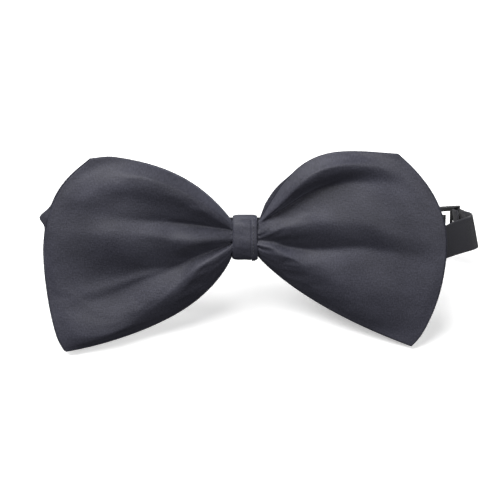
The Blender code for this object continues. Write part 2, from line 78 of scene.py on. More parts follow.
# ---- the bow's own frame -------------------------------------------------------------
KNOT_FACE_DEPTH = 7.0           # from the knot's centre to its flat back face
BACK = Vector(next(m for m in record["mounts"] if m["name"] == "knot_back")["axis"])
UP = Vector((1, 0, 0)).cross(BACK)
LEAN = math.atan2(UP.y, UP.z)
TO_FRAME = Matrix(((MM, 0, 0, -KNOT_FACE_DEPTH * MM * BACK.x),
                   (0, MM * BACK.y, MM * UP.y, -KNOT_FACE_DEPTH * MM * BACK.y),
                   (0, MM * BACK.z, MM * UP.z, -KNOT_FACE_DEPTH * MM * BACK.z),
                   (0, 0, 0, 1)))


def place(x, y, z):
    """A point of the bow's frame, in millimetres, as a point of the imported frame."""
    return TO_FRAME @ Vector((x, y, z))


# ---- small numeric helpers -----------------------------------------------------------
def smooth(value):
    value = np.clip(value, 0.0, 1.0)
    return value * value * (3 - 2 * value)


def through(*points):
    """A smooth function through (x, y) points, level beyond its ends."""
    xs = np.array([p[0] for p in points], float)
    ys = np.array([p[1] for p in points], float)
    slopes = np.gradient(ys, xs)

    def value(x):
        x = np.clip(np.asarray(x, float), xs[0], xs[-1])
        i = np.clip(np.searchsorted(xs, x, side="right") - 1, 0, len(xs) - 2)
        span = xs[i + 1] - xs[i]
        t = (x - xs[i]) / span
        return ((2 * t ** 3 - 3 * t ** 2 + 1) * ys[i] + (t ** 3 - 2 * t ** 2 + t) * span * slopes[i]
                + (3 * t ** 2 - 2 * t ** 3) * ys[i + 1] + (t ** 3 - t ** 2) * span * slopes[i + 1])

    return value


def blurred(grid, passes):
    """A grid of heights, softened a little along both directions, with its rim kept."""
    for _ in range(passes):
        inner = grid.copy()
        inner[1:-1, 1:-1] = (4 * grid[1:-1, 1:-1] + grid[:-2, 1:-1] + grid[2:, 1:-1]
                             + grid[1:-1, :-2] + grid[1:-1, 2:]) / 8
        grid = inner
    return grid


# ---- the wings' outline --------------------------------------------------------------
WAIST_HALF_LENGTH = 3.9
WAIST_HALF_HEIGHT = 5.4
WAIST_DEPTH = 3.0
REACH = 60.0
WING_TOP = 26.5
WING_BOTTOM = -31.8


def spreading(gain, scale, power):
    """Half height of a wing's edge at a distance from the knot's middle."""
    def half_height(distance):
        beyond = np.maximum(distance - WAIST_HALF_LENGTH, 0.0) / scale
        return WAIST_HALF_HEIGHT + gain * (1 - np.exp(-(beyond ** power)))
    return half_height


class Roll:
    """One soft fold that runs out from the waist, between an upper and a lower crease."""

    def __init__(self, upper, crest, lower, height, rise=2.0, fall=2.0, soft=(15.0, 45.0)):
        self.upper = upper
        self.crest = crest
        self.lower = lower
        self.height = height
        self.rise = rise
        self.fall = fall
        self.soft = soft

    def at(self, distance, level):
        upper, crest, lower = (line(distance) for line in (self.upper, self.crest, self.lower))
        above = np.clip((upper - level) / np.maximum(upper - crest, 0.2), 0, 1)
        below = np.clip((level - lower) / np.maximum(crest - lower, 0.2), 0, 1)
        softness = smooth((distance - self.soft[0]) / (self.soft[1] - self.soft[0]))
        risen = (1 - softness) * (1 - (1 - above) ** self.rise) + softness * smooth(above)
        fallen = (1 - softness) * (1 - (1 - below) ** self.fall) + softness * smooth(below)
        return self.height(distance) * np.where(level > crest, risen, fallen)


class Wing:
    """One wing's outline: its edges' half heights, its end and what stands out from it.

    The end lies furthest out, at reach, at one level, and curves back above and below it.
    """

    def __init__(self, side, top, bottom, reach, level, above, below, corners):
        self.side = side
        self.top = top
        self.bottom = bottom
        self.reach = reach
        self.level = level
        self.above = above
        self.below = below
        self.corners = corners
        self.rolls = []
        self.rim = lambda distance: 0.0
        self.sweep = 0.0

    def end(self, share):
        """Distance of the wing's end from the knot, share 0 at the bottom, 1 at the top."""
        level = WING_BOTTOM + share * (WING_TOP - WING_BOTTOM) - self.level
        curve = np.where(level > 0, self.above, self.below)
        rounding = (self.corners[1] * np.clip((share - 0.78) / 0.22, 0, 1) ** 2
                    + self.corners[0] * np.clip((0.10 - share) / 0.10, 0, 1) ** 2)
        return self.reach - curve * level * level - rounding

    def points(self, along, share, longer=None):
        end = self.end(share) + (longer(share) if longer else 0.0)
        distance = WAIST_HALF_LENGTH + along * (end - WAIST_HALF_LENGTH)
        top = self.top(distance) + (self.rim(distance) if longer else 0.0)
        bottom = -self.bottom(distance)
        return distance, bottom + share * (top - bottom)

    def relief(self, distance, level):
        return sum(roll.at(distance, level) for roll in self.rolls)


left_rise = spreading(23.0, 16.5, 1.0)
left = Wing(side=-1, top=lambda d: left_rise(d) - 1.5 * smooth((d - 38) / 10),
            bottom=spreading(30.5, 20.0, 0.85), reach=58.9, level=-2.0,
            above=0.0130, below=0.0055, corners=(0.8, 3.6))
right_rise = spreading(22.3, 9.6, 1.3)
right = Wing(side=1, top=lambda d: right_rise(d) - 1.1 * smooth((d - 24) / 26),
             bottom=spreading(46.0, 55.0, 0.9), reach=59.2, level=1.0,
             above=0.0215, below=0.0083, corners=(0.6, 0.8))
left.sweep = 2.6

# the rear bow's edge shows above the front one beside the knot
right.rim = lambda distance: 2.3 * smooth((distance - 3.9) / 2.2) * smooth((14.0 - distance) / 7.0)


def left_rear_end(share):
    """The rear bow ends a little beyond the front one, with a tuft at its side."""
    return 0.5 + 2.3 * np.exp(-((share - 0.70) / 0.035) ** 2)


def right_rear_end(share):
    return 0.25


# creases and crests as (distance from the knot, level), heights as (distance, height)
left_upper_crease = through((3.9, 3.3), (18, 5.6), (31, 7.2), (43, 9.4), (60, 12))
left_middle_crease = through((3.9, -0.5), (12.5, -3.9), (20, -7.2), (31, -8.8), (43, -11.4),
                             (60, -13.0))
left_lower_crease = through((3.9, -0.6), (12.5, -4.0), (20, -7.5), (28, -10.2), (35, -13.2),
                            (42, -15.8), (50, -18.0), (60, -20.0))
left.rolls = [
    Roll(left.top, through((3.9, 5.0), (12, 13.0), (20, 17.4), (31, 20.2), (43, 17), (60, 15)),
         left_upper_crease,
         through((3.9, 0.6), (7, 3.2), (13, 5.6), (22, 6.0), (31, 4.6), (43, 2.4), (60, 0.6))),
    Roll(left_upper_crease,
         through((3.9, 1.2), (18, 1.9), (31, 2.6), (43, 3.6), (60, 3.2)),
         left_middle_crease,
         through((3.9, 0.6), (7, 2.6), (13, 4.6), (22, 4.1), (40, 3.2), (50, 1.9), (60, 0.5)),
         fall=1.7),
    Roll(left_middle_crease,
         through((3.9, -0.55), (20, -7.4), (30, -9.9), (38, -12.6), (45, -14.4), (60, -16.5)),
         left_lower_crease,
         through((3.9, 0.0), (20, 0.1), (30, 0.5), (40, 0.4), (50, 0.2), (60, 0.0))),
    Roll(left_lower_crease,
         through((3.9, -1.5), (13, -6.4), (20, -12.6), (31, -22.0), (40, -27.2), (50, -30.0),
                 (60, -32)),
         lambda distance: -left.bottom(distance),
         through((3.9, 1.0), (8, 3.0), (13, 3.8), (20, 3.3), (31, 2.7), (43, 2.6), (60, 2.2)),
         rise=1.4, fall=1.3),
    # fills the upper crease as it runs out
    Roll(through((3.9, 10), (60, 20)), left_upper_crease, through((3.9, -3), (60, 7)),
         through((3.9, 0.0), (14, 0.0), (28, 1.9), (44, 1.4), (60, 0.2)), soft=(0.0, 1.0)),
]

right_upper_crease = through((3.9, 5.0), (5, 5.8), (11.6, 10.4), (17, 14.0), (22.3, 16.4),
                             (29.5, 18.2), (38, 18.4), (46, 18.0), (60, 15))
right_lower_crease = through((3.9, 0.2), (8, -0.1), (11.6, -1.6), (16.7, -2.2), (33.7, -1.3),
                             (43.8, -2.3), (60, -4))
right.rolls = [
    Roll(right.top, through((3.9, 5.35), (9.5, 11.4), (15.5, 18.2), (22.9, 23.2), (28.3, 24.4),
                            (36, 24.0), (46, 23.5), (60, 20)),
         right_upper_crease,
         through((3.9, 0.5), (7, 2.8), (12, 5.4), (20, 6.2), (28, 4.8), (36, 2.4), (46, 0.7),
                 (60, 0.2))),
    Roll(right_upper_crease,
         through((3.9, 2.6), (8, 3.9), (11.6, 4.9), (18.8, 6.4), (29.5, 7.2), (36.6, 6.4),
                 (43.8, 3.5), (60, 0)),
         right_lower_crease,
         through((3.9, 0.6), (7, 2.6), (12, 3.9), (19, 3.8), (29.5, 3.3), (36.6, 2.7),
                 (43.8, 1.7), (50, 0.8), (60, 0.2)), rise=1.1, fall=1.7, soft=(35.0, 60.0)),
    Roll(right_lower_crease,
         through((3.9, -0.8), (8, -1.6), (15.2, -5.0), (23.2, -9.0), (28.3, -12.0), (33.7, -13.6),
                 (60, -16)),
         lambda distance: -right.bottom(distance),
         through((3.9, 1.0), (8, 3.0), (15, 3.2), (23, 2.5), (34, 1.9), (44, 1.5), (60, 0.4)),
         rise=2.4, fall=1.3, soft=(25.0, 60.0)),
]


BOW_PARTING = -0.2
FORWARD_BEND = 8.0      # how far the wings' ends come forward of the knot


def parting(distance):
    """Depth of the sheet between the front and the rear bow."""
    return BOW_PARTING - FORWARD_BEND * (distance / REACH) ** 1.5


def swept_forward(wing, distance, level):
    """How far a wing's lower corner comes forward of the parting sheet."""
    return -wing.sweep * smooth((distance - 22) / 30) * smooth((-level - 9) / 22)


# ---- meshes --------------------------------------------------------------------------
def inside_out(mesh):
    """Whether a closed mesh's faces point inward."""
    shape = bmesh.new()
    shape.from_mesh(mesh)
    volume = shape.calc_volume(signed=True)
    shape.free()
    return volume < 0


def add_mesh(name, points, faces, weave=None):
    """A mesh object from points of the bow's frame, with its cloth coordinates kept."""
    mesh = bpy.data.meshes.new(name)
    world = [TO_FRAME @ Vector(point) for point in points]
    mesh.from_pydata(world, [], faces)
    mesh.update()
    if inside_out(mesh):
        mesh.flip_normals()
    if weave is not None:
        store = mesh.attributes.new("weave", "FLOAT_VECTOR", "POINT")
        store.data.foreach_set("vector", np.asarray(weave, np.float32).ravel())
    mesh.shade_smooth()
    made = bpy.data.objects.new(name, mesh)
    bpy.context.scene.collection.objects.link(made)
    return made


def closed_sheet(front, back, weave, shared_rim=False):
    """Points, faces and cloth coordinates of two like grids joined round their rims."""
    rows, columns = front.shape[:2]
    points = np.concatenate([front.reshape(-1, 3), back.reshape(-1, 3)])
    cloth = np.concatenate([weave.reshape(-1, 3), weave.reshape(-1, 3)])
    over = np.arange(rows * columns).reshape(rows, columns)
    under = over + rows * columns
    if shared_rim:
        under[0], under[-1] = over[0], over[-1]
        under[:, 0], under[:, -1] = over[:, 0], over[:, -1]
    faces = []
    for r in range(rows - 1):
        for c in range(columns - 1):
            faces.append((over[r, c], over[r, c + 1], over[r + 1, c + 1], over[r + 1, c]))
            faces.append((under[r + 1, c], under[r + 1, c + 1], under[r, c + 1], under[r, c]))
    if not shared_rim:
        rim = [*((0, c) for c in range(columns)), *((r, columns - 1) for r in range(1, rows)),
               *((rows - 1, c) for c in range(columns - 2, -1, -1)),
               *((r, 0) for r in range(rows - 2, 0, -1))]
        for here, after in zip(rim, rim[1:] + rim[:1]):
            faces.append((over[after], over[here], under[here], under[after]))
    used, order = np.unique(np.array(faces), return_inverse=True)
    faces = order.reshape(-1, 4)
    return points[used], [tuple(int(i) for i in face) for face in faces], cloth[used]


def ring_sheet(grid, weave):
    """Points, faces and cloth coordinates of a grid closed both ways, like a tyre."""
    rows, columns = grid.shape[:2]
    faces = []
    for r in range(rows):
        for c in range(columns):
            after, beside = (r + 1) % rows, (c + 1) % columns
            faces.append((r * columns + c, after * columns + c, after * columns + beside,
                          r * columns + beside))
    return grid.reshape(-1, 3), faces, weave.reshape(-1, 3)


COLUMNS = 86        # steps out along each wing
ROWS = 97           # steps up each wing


def wing_grid(wing, longer):
    """Distances, levels and shares on a grid: rows run out along the wing."""
    steps = np.linspace(0, 1, COLUMNS)
    along = 0.35 * steps ** 1.6 + 0.65 * np.sin(steps * math.pi / 2)
    share = 0.5 - 0.5 * np.cos(np.linspace(0, 1, ROWS) * math.pi)
    share = 0.55 * share + 0.45 * np.linspace(0, 1, ROWS)
    along, share = np.meshgrid(along, share, indexing="ij")
    distance, level = wing.points(along, share, longer)
    return along, share, distance, level


def gathers(share, distance, seed):
    """Fine tucks where the satin is drawn in at the waist."""
    across = 2 * share - 1
    tucks = (np.sin(11 * across + seed) + 0.7 * np.sin(19 * across + 2.3 * seed)
             + 0.5 * np.sin(31 * across + 0.7 * seed))
    return 0.20 * tucks * np.exp(-(distance - WAIST_HALF_LENGTH) / 7.0)


def slack(x, z, seed):
    """Slow, shallow unevenness of cloth that isn't stretched."""
    return (0.16 * np.sin(0.23 * x + 0.11 * z + seed) + 0.12 * np.sin(0.17 * z - 0.29 * x + 2 * seed)
            + 0.07 * np.sin(0.51 * x + 0.37 * z + 3 * seed))


def body_of_wing(along, share, crown):
    """The plain pillow that the folds stand on, with rounded edges all round."""
    across = 2 * share - 1
    edge = np.clip(1 - across ** 2, 0, 1) ** 0.5 * np.clip(1 - along ** 8, 0, 1) ** 0.5
    return crown * edge * (0.35 + 0.65 * np.sin(math.pi * np.clip(along, 0, 1) ** 0.6))


def bow_meshes(name, facing, ends, crown, edge, relief_of, seed):
    """A bow as one closed pillow of satin, and the sheet of interlining inside it."""
    halves = []
    for wing, longer in zip((left, right), ends):
        along, share, distance, level = wing_grid(wing, longer)
        sheet = parting(distance) + swept_forward(wing, distance, level) + facing * 0.15
        rim = np.clip(1 - (2 * share - 1) ** 2, 0, 1) ** 0.5 * np.clip(1 - along ** 8, 0, 1) ** 0.5
        waist = (WAIST_DEPTH - edge) * np.exp(-(distance - WAIST_HALF_LENGTH) / 9.0)
        relief = blurred(relief_of(wing, distance, level), 3) * (1 - along ** 7)
        tucks = gathers(share, distance, seed + wing.side)
        swell = (edge * (0.5 + 0.5 * rim) + waist * rim + body_of_wing(along, share, crown)
                 + relief * np.minimum(1, 2.2 * rim) + tucks * rim
                 + slack(distance, level, seed + wing.side) * rim * smooth((distance - 8) / 12))
        x = wing.side * distance
        outer = np.stack([x, sheet + facing * swell, level], axis=-1)
        inner = np.stack([x, sheet + facing * edge * 0.5 * (1 - rim), level], axis=-1)
        weave = np.stack([distance, level, rim], axis=-1)
        inside, lined_level = 0.99 * distance, 0.9 * level
        core = parting(inside) + swept_forward(wing, inside, lined_level) + facing * 0.65
        lined = np.stack([wing.side * inside, core, lined_level], axis=-1)
        halves.append((outer, inner, weave, lined))
    outer, inner, weave, lined = [np.concatenate([halves[0][k][::-1], halves[1][k]], axis=0)
                                  for k in range(4)]
    satin_mesh = add_mesh(name, *closed_sheet(outer, inner, weave, shared_rim=True))
    lined = lined[10:-10:2, 8:-8:2]
    backed = lined + np.array([0, -facing * 0.25, 0])
    lining_mesh = add_mesh(name + "_lining", *closed_sheet(lined, backed, lined))
    return satin_mesh, lining_mesh


rear_folds = {
    -1: [Roll(left.top, through((3.9, 4), (20, 12), (40, 15), (60, 15)),
              through((3.9, 1), (20, 3), (60, 4)), through((3.9, 0.5), (12, 2.6), (30, 2.2), (60, 0.4))),
         Roll(through((3.9, 1), (20, 3), (60, 4)), through((3.9, -2), (20, -6), (60, -9)),
              lambda d: -left.bottom(d), through((3.9, 0.5), (12, 2.6), (30, 2.4), (60, 0.4)))],
    1: [Roll(right.top, through((3.9, 4), (20, 13), (40, 15), (60, 14)),
             through((3.9, 1), (20, 4), (60, 5)), through((3.9, 0.5), (12, 2.6), (30, 2.2), (60, 0.4))),
        Roll(through((3.9, 1), (20, 4), (60, 5)), through((3.9, -2), (20, -5), (60, -9)),
             lambda d: -right.bottom(d), through((3.9, 0.5), (12, 2.4), (30, 2.2), (60, 0.4)))],
}


def rear_relief(wing, distance, level):
    return sum(roll.at(distance, level) for roll in rear_folds[wing.side])


front_bow, front_lining = bow_meshes("front_bow_satin", -1, (None, None), 1.4, 0.9,
                                     Wing.relief, 0.7)
rear_bow, rear_lining = bow_meshes("rear_bow_satin", 1, (left_rear_end, right_rear_end), 1.2,
                                   0.8, rear_relief, 2.1)


# ---- settling the cloth ---------------------------------------------------------------
SIM_SCALE = 10.0        # the solver is steadier on a larger copy
SIM_FRAMES = 14


def settle(piece, pressure, growth, cap):
    """A short cloth simulation, held at the waist: the pillow fills a little and the
    satin, cut slightly too large for it, finds its own small creases."""
    mesh = piece.data
    rest = np.zeros(len(mesh.vertices) * 3)
    mesh.vertices.foreach_get("co", rest)
    rest = rest.reshape(-1, 3)
    copy = bpy.data.objects.new(piece.name + "_settling", mesh.copy())
    bpy.context.scene.collection.objects.link(copy)
    copy.data.vertices.foreach_set("co", (rest * SIM_SCALE).ravel())
    held = copy.vertex_groups.new(name="held")
    from_knot = np.abs(rest[:, 0]) / MM
    weights = 1 - smooth((from_knot - 5.0) / 7.0)
    for index in np.nonzero(weights > 0)[0]:
        held.add([int(index)], float(weights[index]), "REPLACE")
    cloth = copy.modifiers.new("cloth", "CLOTH")
    cloth.settings.quality = 5
    cloth.settings.mass = 0.2
    cloth.settings.tension_stiffness = 12
    cloth.settings.compression_stiffness = 12
    cloth.settings.shear_stiffness = 5
    cloth.settings.bending_stiffness = 0.4
    cloth.settings.shrink_min = -growth
    cloth.settings.use_pressure = True
    cloth.settings.uniform_pressure_force = pressure
    cloth.settings.vertex_group_mass = "held"
    cloth.settings.effector_weights.gravity = 0
    cloth.collision_settings.use_collision = False
    cloth.point_cache.frame_end = SIM_FRAMES
    for step in range(1, SIM_FRAMES + 1):
        bpy.context.scene.frame_set(step)
    seen = copy.evaluated_get(bpy.context.evaluated_depsgraph_get())
    moved = np.zeros(len(rest) * 3)
    seen.data.vertices.foreach_get("co", moved)
    move = moved.reshape(-1, 3) / SIM_SCALE - rest
    rim = np.zeros(len(rest) * 3)
    mesh.attributes["weave"].data.foreach_get("vector", rim)
    move *= smooth((rim.reshape(-1, 3)[:, 2:] - 0.25) / 0.5)
    length = np.linalg.norm(move, axis=1)
    limit = cap * MM
    move *= (limit * np.tanh(length / limit) / np.maximum(length, 1e-9))[:, None]
    mesh.vertices.foreach_set("co", (rest + move).ravel())
    mesh.update()
    spare = copy.data
    bpy.data.objects.remove(copy, do_unlink=True)
    bpy.data.meshes.remove(spare)
    bpy.context.scene.frame_set(1)
    print(f"{piece.name}: moved {length.mean() / MM:.2f} mm on average, {length.max() / MM:.2f} at most")


settle(front_bow, 0.8, 0.005, 0.5)
settle(rear_bow, 0.8, 0.006, 0.5)

# ---- the knot ------------------------------------------------------------------------
def rounded_loop(corners, radius, step):
    """A closed path through (y, z) corners with rounded corners, at even steps."""
    path = []
    count = len(corners)
    for k in range(count):
        before, here, after = (np.array(corners[(k + d) % count], float) for d in (-1, 0, 1))
        into = (here - before) / np.linalg.norm(here - before)
        out = (after - here) / np.linalg.norm(after - here)
        reach = min(radius, 0.45 * np.linalg.norm(here - before), 0.45 * np.linalg.norm(after - here))
        for t in np.linspace(0, 1, 7):
            path.append((1 - t) ** 2 * (here - into * reach) + 2 * t * (1 - t) * here
                        + t * t * (here + out * reach))
    path = np.array(path + path[:1])
    run = np.concatenate([[0], np.cumsum(np.linalg.norm(np.diff(path, axis=0), axis=1))])
    even = np.linspace(0, run[-1], int(run[-1] / step) + 1)[:-1]
    return np.stack([np.interp(even, run, path[:, 0]), np.interp(even, run, path[:, 1])], axis=1), even


KNOT_HALF_WIDTH = 3.65
KNOT_PLY = 0.6
SEAM_AT = 1.85      # where the strip's folded edge lies on the knot's front
LAP_HALF_HEIGHT = 5.2
LAP_HALF_WIDTH = 3.5
LAP_DEPTH = 6.68


def knot_mesh():
    """The satin strip round the waist: soft, with its folded edge down the front."""
    corners = [(6.0, -5.8), (-3.4, -5.8), (-5.1, -0.8), (-3.7, 5.9), (6.0, 5.8)]
    loop, run = rounded_loop(corners, 1.9, 0.28)
    ahead = np.roll(loop, -1, axis=0) - np.roll(loop, 1, axis=0)
    ahead /= np.linalg.norm(ahead, axis=1)[:, None]
    outward = np.stack([ahead[:, 1], -ahead[:, 0]], axis=1)
    if np.sum(outward * (loop - loop.mean(0))) < 0:
        outward = -outward
    front = smooth((-loop[:, 0] + 1.0) / 3.0)
    lanes = np.sort(np.concatenate([np.linspace(-1, 1, 27), SEAM_AT / KNOT_HALF_WIDTH
                                    + np.array([-0.05, -0.028, -0.012, 0.012, 0.028, 0.05])]))
    x = lanes * KNOT_HALF_WIDTH
    seam = 0.26 * smooth((x - SEAM_AT) / 0.16) - 0.16 * np.exp(-((x - SEAM_AT + 0.08) / 0.12) ** 2)
    curl = -0.42 * np.abs(lanes) ** 7
    rows = []
    for k in range(len(loop)):
        z = loop[k, 1]
        spread_out = 1 + 0.05 * front[k] * smooth((2.0 - z) / 9.0)
        soft = (0.08 * np.sin(1.3 * x + 0.35 * z + 0.6) + 0.05 * np.sin(0.8 * z - 0.6 * x + 1.9)
                + 0.02 * np.sin(2.9 * z + 0.7 * x)) * (1 - lanes ** 6)
        lift = curl + front[k] * (seam + 0.16 * (1 - lanes ** 2)) + soft * front[k]
        over = loop[k][None, :] + outward[k][None, :] * (KNOT_PLY / 2 + lift)[:, None]
        under = loop[k][None, :] - outward[k][None, :] * (KNOT_PLY / 2 - 0.8 * curl)[:, None]
        width = x * spread_out
        outer = np.stack([width, over[:, 0], over[:, 1]], axis=1)
        inner = np.stack([width, under[:, 0], under[:, 1]], axis=1)[::-1]
        rows.append(np.concatenate([outer, inner[1:-1]]))
    grid = np.array(rows)
    both = np.concatenate([x, x[::-1][1:-1]])
    weave = np.zeros_like(grid)
    weave[:, :, 0] = both[None, :]
    weave[:, :, 1] = run[:, None]
    return add_mesh("knot_satin", *ring_sheet(grid, weave))


def knot_lap():
    """The strip's end, lapped over itself behind, which gives the knot its flat back."""
    z = np.linspace(-LAP_HALF_HEIGHT, LAP_HALF_HEIGHT, 25)
    x = np.linspace(-LAP_HALF_WIDTH, LAP_HALF_WIDTH, 13)
    zz, xx = np.meshgrid(z, x, indexing="ij")
    edge = (np.clip(1 - np.abs(zz / LAP_HALF_HEIGHT) ** 10, 0, 1) ** 0.5
            * np.clip(1 - np.abs(xx / LAP_HALF_WIDTH) ** 10, 0, 1) ** 0.5)
    outer = np.stack([xx, LAP_DEPTH + 0.32 * edge, zz], axis=-1)
    inner = np.stack([xx, LAP_DEPTH - 0.28 * edge, zz], axis=-1)
    weave = np.stack([xx, zz, np.zeros_like(xx)], axis=-1)
    return add_mesh("knot_lap_satin", *closed_sheet(inner, outer, weave, shared_rim=True))


# ---- threads -------------------------------------------------------------------------
THREAD_RADIUS = 0.15


def tube(points, radius, sides=8):
    """Points and quads of a round thread through points, with its ends drawn to a tip."""
    points = np.asarray(points, float)
    tangent = np.gradient(points, axis=0)
    tangent /= np.linalg.norm(tangent, axis=1)[:, None]
    hint = np.array([0.13, 1.0, 0.21])
    side = np.cross(tangent, hint)
    side /= np.linalg.norm(side, axis=1)[:, None]
    other = np.cross(side, tangent)
    girth = np.ones(len(points))
    girth[0] = girth[-1] = 0.35
    angle = np.arange(sides) * 2 * math.pi / sides
    rings = (points[:, None, :] + radius * girth[:, None, None]
             * (np.cos(angle)[None, :, None] * side[:, None, :]
                + np.sin(angle)[None, :, None] * other[:, None, :]))
    faces = []
    for r in range(len(points) - 1):
        for c in range(sides):
            beside = (c + 1) % sides
            faces.append((r * sides + c, r * sides + beside, (r + 1) * sides + beside,
                          (r + 1) * sides + c))
    faces.append(tuple(range(sides))[::-1])
    faces.append(tuple((len(points) - 1) * sides + c for c in range(sides)))
    return rings.reshape(-1, 3), faces


def threads(name, runs, radius):
    """Several threads as one piece; each run is a list of points."""
    points, faces = [], []
    for run in runs:
        more, quads = tube(run, radius)
        faces += [tuple(i + len(points) for i in quad) for quad in quads]
        points += [tuple(point) for point in more]
    return add_mesh(name, points, faces)


def stitch(start, end, toward):
    """One stitch: it dips into the cloth at both ends and stands up between them."""
    start, end, toward = (np.array(v, float) for v in (start, end, toward))
    return [start + (end - start) * t + toward * THREAD_RADIUS * (1.6 * math.sin(math.pi * t) - 0.8)
            for t in np.linspace(0, 1, 7)]


def waist_turns():
    """Turns of thread that bite into the gathered satin under the knot."""
    turns, steps = 5, 32
    angle = np.linspace(0, 2 * math.pi * turns, turns * steps + 1)
    corner = 1 / np.maximum(np.abs(np.cos(angle)), np.abs(np.sin(angle)))
    reach = 1 + 0.9 * (corner - 1)
    x = 2.4 * THREAD_RADIUS * (angle / (2 * math.pi) - turns / 2)
    y = parting(0.0) + (WAIST_DEPTH + 0.1) * np.cos(angle) * reach
    z = (WAIST_HALF_HEIGHT - 0.1) * np.sin(angle) * reach
    return threads("waist_thread_turns", [np.stack([x, y, z], axis=1)], THREAD_RADIUS)


def whip_stitches():
    """Short slanting stitches from the lap's face over its lower edge into the strip."""
    profile = [(6.85, -4.35), (7.08, -4.6), (7.06, -5.0), (6.86, -5.3), (6.5, -5.42), (6.0, -5.38),
               (5.6, -5.2)]
    runs = []
    for x in np.linspace(-2.9, 2.6, 9):
        runs.append([(x + 0.35 * t, y, z)
                     for t, (y, z) in zip(np.linspace(0, 1, len(profile)), profile)])
    return threads("knot_whip_stitches", runs, THREAD_RADIUS)


def seam_stitches(knot):
    """A few short stitches beside the strip's folded edge, on the knot's front."""
    surface = BVHTree.FromPolygons([v.co for v in knot.data.vertices],
                                   [p.vertices[:] for p in knot.data.polygons])
    ahead = place(0, 1, 0) - place(0, 0, 0)

    def on_front(x, z):
        found = surface.ray_cast(place(x, -20, z), ahead.normalized())[0]
        return TO_FRAME.inverted() @ found

    runs = []
    for z in np.arange(-3.6, 4.6, 1.0):
        runs.append(stitch(on_front(SEAM_AT + 0.6, z), on_front(SEAM_AT + 0.62, z + 0.55),
                           (0, -1, 0)))
    return threads("knot_seam_stitches", runs, 0.8 * THREAD_RADIUS)


def bar_tack(name, middle, heading, outward, level):
    """A zigzag of thread across the band's width, pressed into its face."""
    stitches, swing, half_height = 11, 0.55, 4.5
    runs = []
    for row in (-0.75, 0.75):
        corners = []
        for step in range(2 * stitches + 1):
            plan = middle + heading * (row + (swing if step % 2 else -swing) * 0.6)
            corners.append((plan[0], plan[1], level + (step / stitches - 1) * half_height))
        corners = np.array(corners)
        run = []
        for start, end in zip(corners[:-1], corners[1:]):
            run += stitch(start, end, (outward[0], outward[1], 0))[:-1]
        runs.append(run + [corners[-1]])
    return threads(name, runs, THREAD_RADIUS)


# ---- the neckband --------------------------------------------------------------------
def local(node_point):
    return np.array(TO_FRAME.inverted() @ Vector(node_point))


joint_at = {joint["name"]: local(joint["pos_m"]) for joint in record["behaviour"]["joints"]
            if "pos_m" in joint}
slide_axis = next(joint["axis"] for joint in record["behaviour"]["joints"]
                  if joint["name"] == "length_adjust")
slide = local(Vector(slide_axis) * MM) - local((0, 0, 0))
SLANT = -math.atan2(slide[1], slide[0])
BACK_DROP = float(slide[2]) / math.hypot(slide[0], slide[1])
STRAP_WIDTH = 10.4
STRAP_PLY = 0.6
STRAP_LEVEL = -2.4              # the band's middle at the eye's bar
STRAP_DIP = -6.4                # and behind the right wing
RIGHT_LEAVE_X = 46.0            # where it leaves the wing
RISE_FROM_X = 51.0              # and where it starts to rise
RIGHT_FOLD_RADIUS = 5.0
STRAP_AT_KNOT = 4.6             # depth inside the knot
STRAP_FRONT = 6.8               # and behind the wings
TURN = 1.10                     # from a bar's middle to the middle of the band round it
HOOK_LIFT = 2.9
HOOK_BAR_AT = 14.0
SLIDER_AT = 41.0
SLIDER_BAR_LIFT = 2.0
SEWN_END = 9.0
LONG_SIDE_END = 41.5
EYE_BAR = joint_at["eye_pivot"][:2]
LEFT_PIN = joint_at["left_band_flex"][:2]
RIGHT_PIN = joint_at["right_band_flex"][:2]
ALONG = np.array([math.cos(SLANT), -math.sin(SLANT)])
OUTWARD = np.array([math.sin(SLANT), math.cos(SLANT)])


def back_run(from_eye, lift):
    """A plan point of the ring's back run, at a distance from the eye's bar."""
    return EYE_BAR - ALONG * from_eye + OUTWARD * lift


def back_level(point):
    return STRAP_LEVEL - BACK_DROP * float(np.dot(EYE_BAR - point, ALONG))


def arc(centre, radius, start_deg, end_deg, steps):
    angles = np.radians(np.linspace(start_deg, end_deg, steps + 1))
    return [np.array(centre) + radius * np.array([math.cos(a), math.sin(a)]) for a in angles]


def straight(start, end, steps):
    return [start + (end - start) * t for t in np.linspace(0, 1, steps + 1)[1:]]


def front_depth(x):
    """The band rests in the knot and comes back behind the wings."""
    return STRAP_AT_KNOT + (STRAP_FRONT - STRAP_AT_KNOT) * float(smooth((abs(x) - 3.6) / 28))


